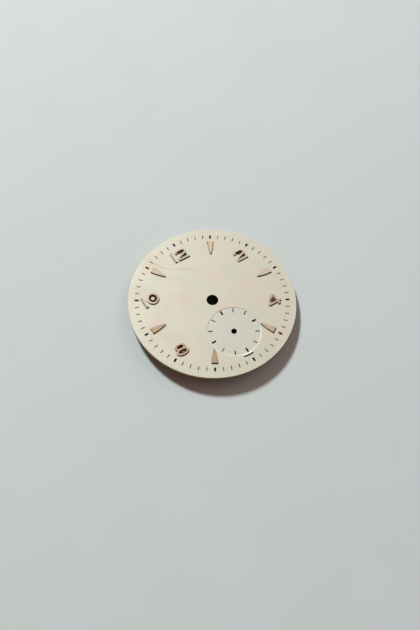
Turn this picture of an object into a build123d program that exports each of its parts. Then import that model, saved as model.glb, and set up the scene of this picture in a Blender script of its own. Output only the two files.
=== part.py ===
from build123d import *
from math import cos, hypot, radians, sin, tan
import os

# Wristwatch dial with a sunk small-seconds circle, applied numerals and printed minute marks.
# Millimetres. Z is the axis of the centre hole, Z = 0 is the back of the plate,
# the face looks along +Z and twelve o'clock lies along +Y.

# Plate
dial_diameter = 28.0
plate_thickness = 0.4
plate_edge_bevel = 0.08
centre_hole_diameter = 1.95
seconds_hole_diameter = 0.95
hole_edge_bevel = 0.05

# Printed minute track, set in from the rim
ink_thickness = 0.02
minute_track_inset = 1.155
minute_tick_length = 0.66
hour_tick_width = 0.32
minute_tick_width = 0.16

# Tapered markers with bowed sides, inside the minute track
marker_inset = 0.7
marker_length = 2.5
marker_outer_width = 0.98
marker_middle_width = 0.72
marker_tip_width = 0.12
marker_hours = (1, 3, 5, 7, 9, 11)
marker_stud_shares = (0.22, 0.58)

# Sunk seconds circle: a flat floor and a sloping wall, its mouth just clear of two marker tips
seconds_axis_share = 0.4765
hour_beside_seconds = 5
recess_clearance = 0.12
recess_depth = 0.08
recess_wall_run = 0.13

# Thrown-up lip: a short ridge along the mouth of the sunk circle, a little past six
lip_length = 1.7
lip_offset = 0.22
lip_reach = 0.46
lip_height = 0.2
lip_inner_run = 0.25
lip_flank_run = 0.19

# Printed seconds track on the floor of the sunk circle
seconds_track_inset = 0.07
seconds_tick_length = 0.78
seconds_quarter_tick_width = 0.3
seconds_five_tick_width = 0.19

# Dial feet, brazed into shallow seats on the back
foot_diameter = 0.8
foot_length = 1.0
foot_root_diameter = 1.3
foot_root_height = 0.06
foot_root_taper = 0.16
foot_tip_bevel = 0.08
foot_seat_depth = 0.1
foot_seat_clearance = 0.01
foot_inset = 1.8
foot_hours = {"dial_foot_near_4": 3.8, "dial_foot_near_10": 9.8}

# Applied pieces: flat tops with a fine bevel, each with two studs riveted flush at the back
applied_height = 0.21
applied_bevel = 0.04
stud_diameter = 0.24
stud_clearance = 0.01
rivet_head_diameter = 0.44
rivet_head_depth = 0.1

# Numerals; the bends of the two are shares of its height
numeral_height = 2.05
stroke_upright = 0.36
stroke_level = 0.3
figure_gap = 0.34
one_width = 0.4
two_width = 1.95
two_hook_share = 0.234
two_shoulder_share = 0.244
two_back_share = 0.171
two_foot_share = 0.205
two_turn_degrees = 70
four_width = 2.3
four_stem_share = 0.74
four_bar_share = 0.285
eight_lower_width = 2.15
eight_upper_width = 1.85
eight_lower_counter_share = 0.54
zero_width = 2.05

# Where the middle of each first figure stands, as shares of the numeral circle's radius
numeral_inset = 1.935
numeral_place_shares = {
    "numeral_12_one": (-0.132, 1.0),
    "numeral_2": (0.855, 0.497),
    "numeral_4": (0.851, -0.511),
    "numeral_8": (-0.883, -0.506),
    "numeral_10_one": (-0.971, 0.503),
}
second_figures = {
    "numeral_12_two": ("numeral_12_one", two_width),
    "numeral_10_zero": ("numeral_10_one", zero_width),
}

# Overrun of every cut past the surface that it opens
cut_overrun = 0.5

degrees_per_hour = 30
on_base = (Align.CENTER, Align.CENTER, Align.MIN)


def on_clock(radius, hour):
    """Point at a radius from the dial's centre, in the direction of an hour."""
    turn = radians(degrees_per_hour * hour)
    return (radius * sin(turn), radius * cos(turn))


# Radii and places that follow from the sizes above
dial_radius = dial_diameter / 2
minute_track_outer_radius = dial_radius - minute_track_inset
minute_track_inner_radius = minute_track_outer_radius - minute_tick_length
marker_outer_radius = minute_track_inner_radius - marker_inset
marker_inner_radius = marker_outer_radius - marker_length
numeral_circle_radius = minute_track_inner_radius - numeral_inset
foot_circle_radius = dial_radius - foot_inset
seconds_centre = (0, -seconds_axis_share * dial_radius)
marker_tip = on_clock(marker_inner_radius, hour_beside_seconds)
seconds_to_marker_tip = hypot(marker_tip[0], marker_tip[1] - seconds_centre[1])
recess_mouth_radius = seconds_to_marker_tip - marker_tip_width / 2 - recess_clearance
recess_floor_radius = recess_mouth_radius - recess_wall_run
lip_outer_radius = recess_mouth_radius + lip_reach
lip_middle = (-lip_offset, seconds_centre[1] - recess_mouth_radius - lip_reach / 2)
recess_floor_z = plate_thickness - recess_depth
seconds_track_outer_radius = recess_floor_radius - seconds_track_inset
seconds_track_inner_radius = seconds_track_outer_radius - seconds_tick_length


def bevelled_hole(place, diameter, surface_z):
    """Cutter for a hole through the plate, bevelled where it meets the surface above."""
    radius = diameter / 2
    depth = plate_thickness + 2 * cut_overrun
    hole = Pos(0, 0, -cut_overrun) * Cylinder(radius, depth, align=on_base)
    bevel_height = hole_edge_bevel + cut_overrun
    bevel = Cone(radius, radius + bevel_height, bevel_height, align=on_base)
    return Pos(*place) * (hole + Pos(0, 0, surface_z - hole_edge_bevel) * bevel)


def seconds_recess():
    """Cutter for the sunk circle: its wall, then the longer slope up to the lip's crest."""
    wall = Cone(recess_floor_radius, recess_mouth_radius, recess_depth, align=on_base)
    slope_height = lip_height + cut_overrun
    crest_radius = recess_mouth_radius + lip_inner_run * slope_height / lip_height
    slope = Cone(recess_mouth_radius, crest_radius, slope_height, align=on_base)
    return Pos(*seconds_centre, recess_floor_z) * (wall + Pos(0, 0, recess_depth) * slope)


def recess_lip():
    """Thrown-up lip: a stretch of a round mound, with sloping ends, before the cut of the circle."""
    mound = Cone(lip_outer_radius, lip_outer_radius - lip_flank_run, lip_height, align=on_base)
    stretch = Cone(lip_length / 2, lip_length / 2 - lip_flank_run, lip_height, align=on_base)
    return Pos(*seconds_centre, plate_thickness) * mound & Pos(*lip_middle, plate_thickness) * stretch


def stud_hole(place):
    """Hole for a stud, countersunk at the back for the riveted head."""
    radius = stud_diameter / 2 + stud_clearance
    head_radius = rivet_head_diameter / 2
    through = Cylinder(radius, plate_thickness, align=on_base)
    countersink = Cone(head_radius, radius, rivet_head_depth, align=on_base)
    return Pos(*place) * (through + countersink)


def foot_seat(place):
    """Shallow round seat in the back of the plate."""
    radius = foot_root_diameter / 2 + foot_seat_clearance
    return Pos(*place) * Cylinder(radius, foot_seat_depth, align=on_base)


def dial_plate(stud_places):
    """Round plate with its lip, sunk circle, holes and seats."""
    plate = Cylinder(dial_radius, plate_thickness, align=on_base)
    plate = chamfer(plate.edges().sort_by(Axis.Z)[-1], plate_edge_bevel)
    plate = plate + recess_lip() - seconds_recess()
    plate -= bevelled_hole((0, 0), centre_hole_diameter, plate_thickness)
    plate -= bevelled_hole(seconds_centre, seconds_hole_diameter, recess_floor_z)
    for place in stud_places:
        plate -= stud_hole(place)
    for hour in foot_hours.values():
        plate -= foot_seat(on_clock(foot_circle_radius, hour))
    return plate


def dial_foot(place):
    """Turned foot: a wide root in its seat, a taper, a straight pin and a bevelled tip."""
    root_radius = foot_root_diameter / 2
    pin_radius = foot_diameter / 2
    pin_top = -foot_root_height - foot_root_taper
    profile = Polyline(
        (0, foot_seat_depth),
        (root_radius, foot_seat_depth),
        (root_radius, -foot_root_height),
        (pin_radius, pin_top),
        (pin_radius, foot_tip_bevel - foot_length),
        (pin_radius - foot_tip_bevel, -foot_length),
        (0, -foot_length),
        close=True,
    )
    return Pos(*place) * revolve(Plane.XZ * make_face(profile), Axis.Z)


def stud(place):
    """Stud from the face down through the plate, with its head flush at the back."""
    radius = stud_diameter / 2
    head_radius = rivet_head_diameter / 2 - stud_clearance
    shank = Cylinder(radius, plate_thickness, align=on_base)
    head = Cone(head_radius, radius, rivet_head_depth, align=on_base)
    return Pos(*place) * (shank + head)


def applied(outline, stud_places):
    """Applied piece: the outline raised off the face, its top edges bevelled, on its studs."""
    body = extrude(outline, applied_height)
    body = chamfer(body.faces().sort_by(Axis.Z)[-1].edges(), applied_bevel)
    piece = Pos(0, 0, plate_thickness) * body
    for place in stud_places:
        piece += stud(place)
    return piece


def marker(hour):
    """Tapered marker with bowed sides, flat end outwards, with the places of its studs."""
    left, right = (
        [
            (side * marker_outer_width / 2, marker_outer_radius),
            (side * marker_middle_width / 2, (marker_outer_radius + marker_inner_radius) / 2),
            (side * marker_tip_width / 2, marker_inner_radius),
        ]
        for side in (-1, 1)
    )
    edges = [ThreePointArc(*left), ThreePointArc(*right), Line(left[0], right[0]), Line(left[2], right[2])]
    outline = make_face(edges)
    stud_radii = [marker_outer_radius - share * marker_length for share in marker_stud_shares]
    turned = Rot(0, 0, -degrees_per_hour * hour) * outline
    return turned, [on_clock(radius, hour) for radius in stud_radii]


def figure_one():
    """Plain upright bar."""
    outline = Rectangle(one_width, numeral_height)
    stud_y = numeral_height / 2 - stroke_upright
    return outline, [(0, stud_y), (0, -stud_y)]


def figure_two():
    """Hooked figure drawn by one stroke: hook, shoulder, sloping back, foot and base bar."""
    half = stroke_level / 2
    turn = radians(two_turn_degrees)
    hook_radius = two_hook_share * numeral_height
    shoulder_radius = two_shoulder_share * numeral_height
    back_radius = two_back_share * numeral_height
    foot_radius = two_foot_share * numeral_height
    hook = JernArc((half, numeral_height - half - hook_radius), (0, 1), hook_radius, -90)
    top = Line(hook @ 1, (two_width - half - shoulder_radius, numeral_height - half))
    shoulder = JernArc(top @ 1, (1, 0), shoulder_radius, -90)
    back = JernArc(shoulder @ 1, (0, -1), back_radius, -two_turn_degrees)
    slope_end_x = half + foot_radius * (1 - cos(turn))
    slope_start = back @ 1
    slope_end_y = slope_start.Y - (slope_start.X - slope_end_x) / tan(turn)
    slope = Line(slope_start, (slope_end_x, slope_end_y))
    foot = JernArc(slope @ 1, slope % 1, foot_radius, two_turn_degrees)
    heel = Line(foot @ 1, (half, 0))
    stroke = trace([hook, top, shoulder, back, slope, foot, heel], stroke_level)
    base = Pos(two_width, half) * Rectangle(
        two_width - half, stroke_level, align=(Align.MAX, Align.CENTER)
    )
    outline = Pos(-two_width / 2, -numeral_height / 2) * (stroke + base)
    stud_y = numeral_height / 2 - half
    return outline, [(0, stud_y), (0, -stud_y)]


def figure_four():
    """Open figure: a stem, a level bar and a slope, with a three-cornered counter."""
    stem_right = four_stem_share * four_width + stroke_upright / 2
    stem_left = stem_right - stroke_upright
    bar_top = four_bar_share * numeral_height + stroke_level / 2
    bar_bottom = bar_top - stroke_level
    slope_top_x = stem_left - stroke_level
    rise = (numeral_height - bar_top) / slope_top_x
    counter_left = stroke_upright * (1 + 1 / rise**2) ** 0.5
    counter_top = bar_top + rise * (stem_left - counter_left)
    outer = Polygon(
        (0, bar_bottom),
        (stem_left, bar_bottom),
        (stem_left, 0),
        (stem_right, 0),
        (stem_right, bar_bottom),
        (four_width, bar_bottom),
        (four_width, bar_top),
        (stem_right, bar_top),
        (stem_right, numeral_height),
        (slope_top_x, numeral_height),
        (0, bar_top),
        align=None,
    )
    counter = Polygon(
        (counter_left, bar_top),
        (stem_left, bar_top),
        (stem_left, counter_top),
        align=None,
    )
    centre = Pos(-four_width / 2, -numeral_height / 2)
    bar_y = (bar_top + bar_bottom) / 2 - numeral_height / 2
    stem_x = (stem_left + stem_right) / 2 - four_width / 2
    studs = [(stroke_upright - four_width / 2, bar_y), (stem_x, numeral_height / 2 - stroke_upright)]
    return centre * (outer - counter), studs


def ring_outline(width, height):
    """Oval ring: upright strokes at its sides and level strokes at its top and bottom."""
    hole = Ellipse(width / 2 - stroke_upright, height / 2 - stroke_level)
    return Ellipse(width / 2, height / 2), hole


def figure_eight():
    """Wide lower bowl and narrower upper bowl that share one level stroke."""
    counters_height = numeral_height - 3 * stroke_level
    lower_height = eight_lower_counter_share * counters_height + 2 * stroke_level
    upper_height = numeral_height + stroke_level - lower_height
    lower_place = Pos(0, (lower_height - numeral_height) / 2)
    upper_place = Pos(0, (numeral_height - upper_height) / 2)
    lower, lower_hole = ring_outline(eight_lower_width, lower_height)
    upper, upper_hole = ring_outline(eight_upper_width, upper_height)
    outline = lower_place * lower + upper_place * upper
    outline = outline - lower_place * lower_hole - upper_place * upper_hole
    stud_y = (numeral_height - stroke_level) / 2
    return outline, [(0, stud_y), (0, -stud_y)]


def figure_zero():
    """Round ring."""
    outer, hole = ring_outline(zero_width, numeral_height)
    stud_y = (numeral_height - stroke_level) / 2
    return outer - hole, [(0, stud_y), (0, -stud_y)]


def figure_middle(name):
    """Middle of a figure: at its own place, or beside the figure that it follows."""
    if name in second_figures:
        first_figure, width = second_figures[name]
        x, y = figure_middle(first_figure)
        return x + (one_width + width) / 2 + figure_gap, y
    share_x, share_y = numeral_place_shares[name]
    return share_x * numeral_circle_radius, share_y * numeral_circle_radius


def placed_figure(name, figure):
    """Outline and stud places of a figure, moved to where it stands on the dial."""
    x, y = figure_middle(name)
    outline, studs = figure()
    return Pos(x, y) * outline, [(x + stud_x, y + stud_y) for stud_x, stud_y in studs]


def ticks(hours, width, inner_radius, outer_radius, centre, floor_z):
    """Thin printed marks, all pointing at one centre."""
    across = (Align.CENTER, Align.MIN, Align.MIN)
    mark = Pos(0, inner_radius) * Box(width, outer_radius - inner_radius, ink_thickness, align=across)
    turns = [Rot(0, 0, -degrees_per_hour * hour) for hour in hours]
    return Compound([Pos(*centre, floor_z) * turn * mark for turn in turns])


figures = {
    "numeral_12_one": figure_one,
    "numeral_12_two": figure_two,
    "numeral_2": figure_two,
    "numeral_4": figure_four,
    "numeral_8": figure_eight,
    "numeral_10_one": figure_one,
    "numeral_10_zero": figure_zero,
}
outlines = {name: placed_figure(name, figure) for name, figure in figures.items()}
outlines.update({f"marker_{hour}": marker(hour) for hour in marker_hours})

parts = {name: applied(outline, studs) for name, (outline, studs) in outlines.items()}
parts["dial_plate"] = dial_plate([place for _, studs in outlines.values() for place in studs])
for name, hour in foot_hours.items():
    parts[name] = dial_foot(on_clock(foot_circle_radius, hour))

minute_track = (minute_track_inner_radius, minute_track_outer_radius, (0, 0), plate_thickness)
seconds_track = (
    seconds_track_inner_radius,
    seconds_track_outer_radius,
    seconds_centre,
    recess_floor_z,
)
minutes_between = [minute / 5 for minute in range(60) if minute % 5]
fives_between = [hour for hour in range(12) if hour % 3]
parts["hour_ticks"] = ticks(range(12), hour_tick_width, *minute_track)
parts["minute_ticks"] = ticks(minutes_between, minute_tick_width, *minute_track)
parts["seconds_quarter_ticks"] = ticks(range(0, 12, 3), seconds_quarter_tick_width, *seconds_track)
parts["seconds_five_ticks"] = ticks(fives_between, seconds_five_tick_width, *seconds_track)

os.makedirs("parts", exist_ok=True)
for name, shape in parts.items():
    export_step(shape, f"parts/{name}.step")
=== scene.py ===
"""Wristwatch dial: silvered plate, sunk seconds circle, applied numerals and printed marks."""

import math

import bmesh
import bpy
from mathutils import Matrix, Vector


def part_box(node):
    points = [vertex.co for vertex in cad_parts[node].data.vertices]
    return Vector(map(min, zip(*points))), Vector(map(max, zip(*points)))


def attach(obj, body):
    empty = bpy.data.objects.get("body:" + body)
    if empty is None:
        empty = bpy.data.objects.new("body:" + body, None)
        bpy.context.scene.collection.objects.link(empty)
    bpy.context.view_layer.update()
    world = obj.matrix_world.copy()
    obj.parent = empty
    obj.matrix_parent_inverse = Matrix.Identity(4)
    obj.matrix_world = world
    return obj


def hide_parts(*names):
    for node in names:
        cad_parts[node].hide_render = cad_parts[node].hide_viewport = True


bl_info = {
    "name": "Watch Dial",
    "version": (1, 0, 0),
    "blender": (4, 5, 0),
    "location": "View3D > Sidebar > Watch Dial",
    "description": "Dresses the frame of a wristwatch dial with fine meshes and materials",
    "category": "Add Mesh",
}

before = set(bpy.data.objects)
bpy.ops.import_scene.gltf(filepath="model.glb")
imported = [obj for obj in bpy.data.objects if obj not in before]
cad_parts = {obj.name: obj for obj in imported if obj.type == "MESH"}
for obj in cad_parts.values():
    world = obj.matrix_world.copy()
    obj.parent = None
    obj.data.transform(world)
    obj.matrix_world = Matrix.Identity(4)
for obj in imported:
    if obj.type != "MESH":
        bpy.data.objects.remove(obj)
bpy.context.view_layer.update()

MM = 0.001
UP = Vector((0, 0, 1))
DEGREES_PER_HOUR = 30
PLATE_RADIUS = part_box("dial_plate")[1].x
FACE_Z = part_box("hour_ticks")[0].z
FLOOR_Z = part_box("seconds_quarter_ticks")[0].z
APPLIED_TOP_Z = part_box("numeral_4")[1].z


def middle_of(node):
    """Middle of a node's box."""
    low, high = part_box(node)
    return (low + high) / 2


def clock_turn(hour):
    """Turn round the dial's centre that brings twelve to an hour."""
    return -math.radians(DEGREES_PER_HOUR * hour)


def direction(heading, height=0.0):
    """Unit vector toward a heading, raised by an angle."""
    level = math.cos(height)
    return Vector((math.cos(heading) * level, math.sin(heading) * level, math.sin(height)))


SECONDS_MIDDLE = middle_of("seconds_quarter_ticks")
SECONDS_LINE = Vector((0, SECONDS_MIDDLE.y, 0))
FEET = {"dial_foot_near_4": "copper_foot_near_4", "dial_foot_near_10": "copper_foot_near_10"}

# Faces steeper than this on the markers and on the figures have the finish of the sides,
# darkened with tarnish and painted shade; on the markers this paints the rounded edges dark too
MARKER_GILT_SLOPE = math.radians(10)
FIGURE_GILT_SLOPE = math.radians(60)

# Shares of the figures' height, of their width where the name says so,
# and for the eight of the height that both its counters have
EIGHT_LOWER_COUNTER = 0.54
FOUR_STEM_OF_WIDTH = 0.74
FOUR_BAR = 0.285
TWO_HOOK = 0.234
TWO_SHOULDER = 0.244
TWO_BACK = 0.171
TWO_FOOT = 0.205
TWO_SLOPE_DEGREES = 70

# Steps of a full turn, of an arc of a stroke and of a rounded edge
RIM_STEPS = 256
HOLE_STEPS = 96
OVAL_STEPS = 96
FOOT_STEPS = 64
STUD_STEPS = 32
ARC_STEPS = 14
CORNER_STEPS = 4
EDGE_STEPS = 3

# Points closer together than this are one
TURNED_WELD = 0.0001 * MM
PLATE_WELD = 0.0002 * MM
OUTLINE_WELD = 0.002 * MM

# Edges that turn more than this are sharp, and so are edges of a level face that turn at all
SHARP_TURN = math.radians(35)
LEAST_TURN = math.radians(0.5)
LEVEL = 0.9999

# Arcs scratched in the face: centre, middle, radius, half length and width in millimetres,
# and the strength
SCRATCHES = (
    ((2.0, 14.6), (-3.25, 8.87), 7.77, 4.6, 0.08, 0.4),
    ((2.3, 14.9), (-5.2, 10.2), 8.9, 2.2, 0.06, 0.25),
)

# Grime and painted shade inside the figures: place from the figure's middle and half sizes
# in millimetres, the share of the patch that stays clean in its middle, and the strength
COUNTER_GRIME_AND_SHADE = {
    "numeral_10_zero": (
        (0.02, 0.08, 0.9, 0.95, 0.44, 1.0),
        (0.0, 0.0, 0.7, 0.75, 0.0, 0.05),
        (0.0, -0.05, 1.0, 1.02, 0.9, 0.7),
    ),
    "numeral_8": (
        (0.08, 0.5, 0.62, 0.34, 0.0, 1.0),
        (0.05, -0.42, 0.76, 0.4, 0.42, 1.0),
        (0.05, -0.42, 0.76, 0.4, 0.0, 0.84),
        (0.0, -0.5, 1.05, 0.6, 0.9, 0.7),
    ),
    "numeral_4": ((0.05, 0.12, 0.5, 0.5, 0.0, 0.92),),
    "numeral_2": ((0.1, 0.5, 0.66, 0.36, 0.0, 0.97), (0.36, -0.38, 0.55, 0.2, 0.0, 1.0)),
    "numeral_12_two": ((0.0, 0.55, 0.7, 0.36, 0.0, 0.92), (0.3, -0.38, 0.55, 0.2, 0.0, 0.97)),
}

# Painted shadow, with some grime, along straight edges: two points from the figure's middle in
# millimetres, and the strength
SHADOW_SEAM_WIDTH = 0.13 * MM
ONE_SHADOW_SEAMS = ((-0.2, -1.02, -0.2, 0.9, 0.5), (-0.2, -1.04, 0.2, -1.04, 0.9))
SHADOW_SEAMS = {
    "numeral_12_one": ONE_SHADOW_SEAMS,
    "numeral_10_one": ONE_SHADOW_SEAMS,
    "numeral_12_two": ((-0.97, -1.04, 0.97, -1.04, 0.8), (-0.97, 0.42, -0.68, 0.42, 0.9)),
    "numeral_2": ((-0.97, -1.04, 0.97, -1.04, 0.7), (-0.97, 0.42, -0.68, 0.42, 0.9)),
    "numeral_4": (
        (-1.14, -0.61, 0.36, -0.61, 0.9),
        (0.37, -1.04, 0.73, -1.04, 0.9),
        (0.75, -0.61, 1.1, -0.61, 0.8),
    ),
}

MARKER_HOURS = (1, 3, 5, 7, 9, 11)

# Painted shadow, with some grime, along the left side, the right side and the wide end of each
# marker, seen from its tip
MARKER_SHADOW_SEAMS = {
    1: (0.8, 0.9, 0.0), 3: (0.0, 0.9, 0.0), 5: (0.0, 0.9, 0.6),
    7: (0.1, 0.2, 0.9), 9: (0.9, 0.0, 0.3), 11: (0.9, 0.0, 0.2),
}

# Patches of tarnish on applied pieces, given as the grime and painted shade inside the figures are
TARNISH = {"numeral_4": ((-0.36, 0.12, 0.36, 0.42, 0.0, 0.78),)}

# How far each applied piece is tarnished at its middle, how much more at its left end
# and less at its right end, and how far it is rubbed pale
WEAR = {
    "marker_1": (0.15, 0.0, 0.0),
    "marker_3": (0.05, 0.0, 0.15),
    "marker_5": (0.35, 0.0, 0.0),
    "marker_7": (0.95, 0.0, 0.0),
    "marker_9": (0.75, 0.0, 0.1),
    "marker_11": (0.3, 0.0, 0.15),
    "numeral_12_one": (0.0, 0.0, 1.0),
    "numeral_12_two": (0.25, 0.0, 0.4),
    "numeral_2": (0.0, 0.0, 0.25),
    "numeral_4": (0.45, 0.0, 0.25),
    "numeral_8": (0.6, -0.1, 0.2),
    "numeral_10_one": (0.45, 0.0, 1.0),
    "numeral_10_zero": (0.2, -0.4, 0.4),
}


# Sizes and colours that a user may change


def length(name, description, millimetres):
    """Length property, given in millimetres."""
    return bpy.props.FloatProperty(
        name=name, description=description, default=millimetres * MM, min=0, unit="LENGTH",
        precision=5,
    )


def colour(name, description, red, green, blue):
    """Colour property, given as it looks, from 0 to 255."""
    seen = (value / 255 for value in (red, green, blue))
    linear = [v / 12.92 if v <= 0.04045 else ((v + 0.055) / 1.055) ** 2.4 for v in seen]
    return bpy.props.FloatVectorProperty(
        name=name, description=description, default=linear, min=0, max=1, size=3, subtype="COLOR"
    )


def angle(name, description, degrees, **limits):
    """Angle property, given in degrees."""
    return bpy.props.FloatProperty(
        name=name, description=description, default=math.radians(degrees), subtype="ANGLE", **limits
    )


def number(name, description, value, **limits):
    """Property without a unit, never under zero."""
    return bpy.props.FloatProperty(
        name=name, description=description, default=value, min=0, **limits
    )


class DialPlateSizes(bpy.types.PropertyGroup):
    """Sizes of the plate, its holes and its sunk circle"""

    edge_bevel: length("Edge bevel", "Bevel round the rim of the face", 0.08)
    centre_hole: length("Centre hole", "Radius of the centre hole", 0.975)
    seconds_hole: length("Seconds hole", "Radius of the seconds hole", 0.475)
    hole_bevel: length("Hole bevel", "Bevel at the mouth of both holes", 0.05)
    recess_radius: length("Sunk circle", "Radius of the sunk circle's floor", 4.3176)
    recess_wall_run: length("Wall run", "How far the sloping wall runs out", 0.13)
    lip_length: length("Lip length", "Length of the lip along the mouth", 1.7)
    lip_offset: length("Lip offset", "How far past six the lip's middle lies", 0.22)
    lip_reach: length("Lip reach", "How far the lip reaches past the mouth", 0.46)
    lip_height: length("Lip height", "Height of the lip over the face", 0.2)
    lip_inner_run: length("Lip inner slope", "How far the inner slope of the lip runs", 0.25)
    lip_flank_run: length("Lip flank", "How far the outer flank of the lip runs", 0.19)


class DialFootSizes(bpy.types.PropertyGroup):
    """Sizes of the feet and their seats"""

    pin_radius: length("Pin", "Radius of the pin", 0.4)
    root_radius: length("Root", "Radius of the root", 0.65)
    root_height: length("Root height", "How far the root stands out of the back", 0.06)
    taper: length("Taper", "Length of the taper under the root", 0.16)
    tip_bevel: length("Tip bevel", "Bevel of the tip", 0.08)
    seat_depth: length("Seat depth", "Depth of the seat in the plate", 0.1)
    seat_clearance: length("Seat clearance", "Clearance round the root", 0.01)


class AppliedSizes(bpy.types.PropertyGroup):
    """Sizes of the markers, the numerals and their studs"""

    bevel: length("Bevel", "Rounding of the upper edges", 0.04)
    marker_outer_radius: length("Marker outer end", "From the centre to the wide end", 11.485)
    marker_length: length("Marker length", "Length of a marker", 2.5)
    marker_outer_width: length("Marker width", "Width of the wide end", 0.98)
    marker_middle_width: length("Marker middle", "Width half way along the bowed sides", 0.72)
    marker_tip_width: length("Marker tip", "Width of the narrow end", 0.12)
    numeral_height: length("Numeral height", "Height of every figure", 2.05)
    upright: length("Upright stroke", "Width of upright strokes", 0.36)
    level: length("Level stroke", "Width of level strokes", 0.3)
    one_width: length("One", "Width of the figure one", 0.4)
    two_width: length("Two", "Width of the figure two", 1.95)
    four_width: length("Four", "Width of the figure four", 2.3)
    eight_lower_width: length("Eight, lower bowl", "Width of the lower bowl", 2.15)
    eight_upper_width: length("Eight, upper bowl", "Width of the upper bowl", 1.85)
    zero_width: length("Zero", "Width of the figure zero", 2.05)
    stud_radius: length("Stud", "Radius of a stud", 0.12)
    stud_clearance: length("Stud clearance", "Clearance of a stud in its hole", 0.01)
    rivet_radius: length("Rivet head", "Radius of a riveted head", 0.21)
    rivet_depth: length("Rivet depth", "Depth of a riveted head", 0.1)


class PrintSizes(bpy.types.PropertyGroup):
    """Sizes of the printed marks"""

    thickness: length("Ink thickness", "Thickness of the printed ink", 0.02)
    soft_edge: length("Ink edge", "Rounding of the ink's edges", 0.012)
    outer_radius: length("Track radius", "Outer radius of the minute track", 12.845)
    tick_length: length("Tick length", "Length of a minute mark", 0.66)
    hour_width: length("Hour mark", "Width of an hour mark", 0.32)
    minute_width: length("Minute mark", "Width of a minute mark", 0.16)
    seconds_outer_radius: length("Seconds track", "Outer radius of the seconds track", 4.2476)
    seconds_tick_length: length("Seconds mark", "Length of a seconds mark", 0.78)
    quarter_width: length("Quarter mark", "Width of a quarter mark", 0.3)
    five_width: length("Five-second mark", "Width of a five-second mark", 0.19)


class DialColours(bpy.types.PropertyGroup):
    """Colours of the finishes"""

    silver: colour("Silvered face", "Warm silvered face", 205, 196, 178)
    silver_rose: colour("Rosy patina", "Rosy clouds in the face", 206, 190, 171)
    silver_green: colour("Green patina", "Greenish clouds in the face", 198, 195, 176)
    rim_silver: colour("Rim", "Yellowed silver near the rim", 205, 198, 179)
    # Painted highlight: the wall is lighter than the face, in place of light on it
    wall_highlight_silver: colour("Recess wall", "Bright wall of the seconds circle", 232, 226, 210)
    # Grime of specks and scratches, and inside the figures grime with painted shade
    grime_and_shade: colour("Grime", "Grime inside the figures", 60, 34, 12)
    # Dark brown of the painted shadow and grime along straight edges and of the painted shade on
    # the lip's flank
    edge_shade_and_grime: colour("Seam grime", "Grime of the lip's flank and of straight edges", 42, 27, 16)
    seconds_silver: colour("Seconds circle", "Turned floor of the seconds circle", 201, 197, 182)
    brass: colour("Brass", "Bare brass of the back and the rim", 190, 158, 98)
    gilt: colour("Gilt", "Rosy gilt of the applied pieces", 201, 178, 153)
    tarnished_gilt: colour("Tarnished gilt", "Tan of the most tarnished tops", 172, 144, 113)
    rubbed_gilt: colour("Rubbed gilt", "Tops rubbed nearly to silver", 192, 188, 174)
    side_gilt: colour("Side gilt", "Gilt left on the sides", 176, 140, 106)
    # Brown of the sides: tarnish with painted shade
    gilt_shade: colour("Side tarnish", "Tarnish on the sides", 58, 38, 22)
    copper: colour("Copper", "Dial feet", 196, 128, 92)
    ink: colour("Ink", "Printed hour and seconds marks", 8, 7, 6)
    faded_ink: colour("Faded ink", "Printed minute marks", 52, 48, 38)


class StageSettings(bpy.types.PropertyGroup):
    """Light, floor and camera"""

    floor_colour: colour("Floor", "Colour of the floor", 203, 208, 204)
    floor_mottle: colour("Floor mottle", "Cooler patches of the floor", 204, 208, 208)
    floor_reach: length("Floor reach", "How far the floor reaches to each side", 1500)
    floor_rise: number("Floor rise", "Rise of the floor under the dial", 0.0731, max=1)
    floor_heading: angle("Floor heading", "Direction in which the floor rises", 66)
    key_height: angle("Key height", "Elevation of the main light", 46.5)
    key_heading: angle("Key heading", "Direction from which the main light comes", 90)
    key_spread: angle("Key spread", "Angle that the light fills, seen from the dial", 9, min=0)
    key_distance: length("Key distance", "Distance of the main light from the dial", 700)
    key_strength: number("Key strength", "Light on a surface that faces the main light", 3.63)
    key_tint: colour("Key tint", "Colour of the main light", 241, 253, 255)
    fill_strength: number("Fill", "Even light from above", 0.19)
    fill_tint: colour("Fill tint", "Colour of the even light", 255, 202, 192)
    side_heading: angle("Side heading", "Where the even light is neutral and strongest", 0)
    side_inner: angle("Side inner", "Angle from that heading within which it is full", 41.41, min=0)
    side_outer: angle("Side outer", "Angle from that heading at which it has faded", 63.256, min=0)
    side_gain: number("Side gain", "How much stronger the even light is on that side", 6.4)
    side_tint: colour("Side tint", "Colour of the even light on that side", 250, 244, 240)
    seen_strength: number("Seen", "Strength of the room as the camera and metal see it", 0.5)
    lens: bpy.props.FloatProperty(
        name="Lens", description="Focal length of the camera", default=40.823, min=1, unit="CAMERA"
    )
    camera_place: bpy.props.FloatVectorProperty(
        name="Camera place", description="Where the camera stands, from the middle of the back",
        default=(-34.5998 * MM, -46.0476 * MM, 103.9068 * MM), size=3, subtype="TRANSLATION",
        unit="LENGTH", precision=5,
    )
    camera_turn: bpy.props.FloatVectorProperty(
        name="Camera turn", description="Direction in which the camera looks",
        default=(0.93477636, 0.22464156, -0.08690049, -0.26110849), size=4, subtype="QUATERNION",
        precision=5,
    )


SETTINGS = {
    "dial_plate_sizes": DialPlateSizes,
    "dial_foot_sizes": DialFootSizes,
    "applied_sizes": AppliedSizes,
    "print_sizes": PrintSizes,
    "dial_colours": DialColours,
    "stage_settings": StageSettings,
}


# Node groups and materials


def node(tree, kind, **values):
    """Shader node with the given values on its own properties."""
    made = tree.nodes.new(kind)
    for name, value in values.items():
        setattr(made, name, value)
    return made


def feed(tree, target, value):
    """Links a socket to another, or sets its value."""
    if isinstance(value, bpy.types.NodeSocket):
        tree.links.new(value, target)
    else:
        target.default_value = value


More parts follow.
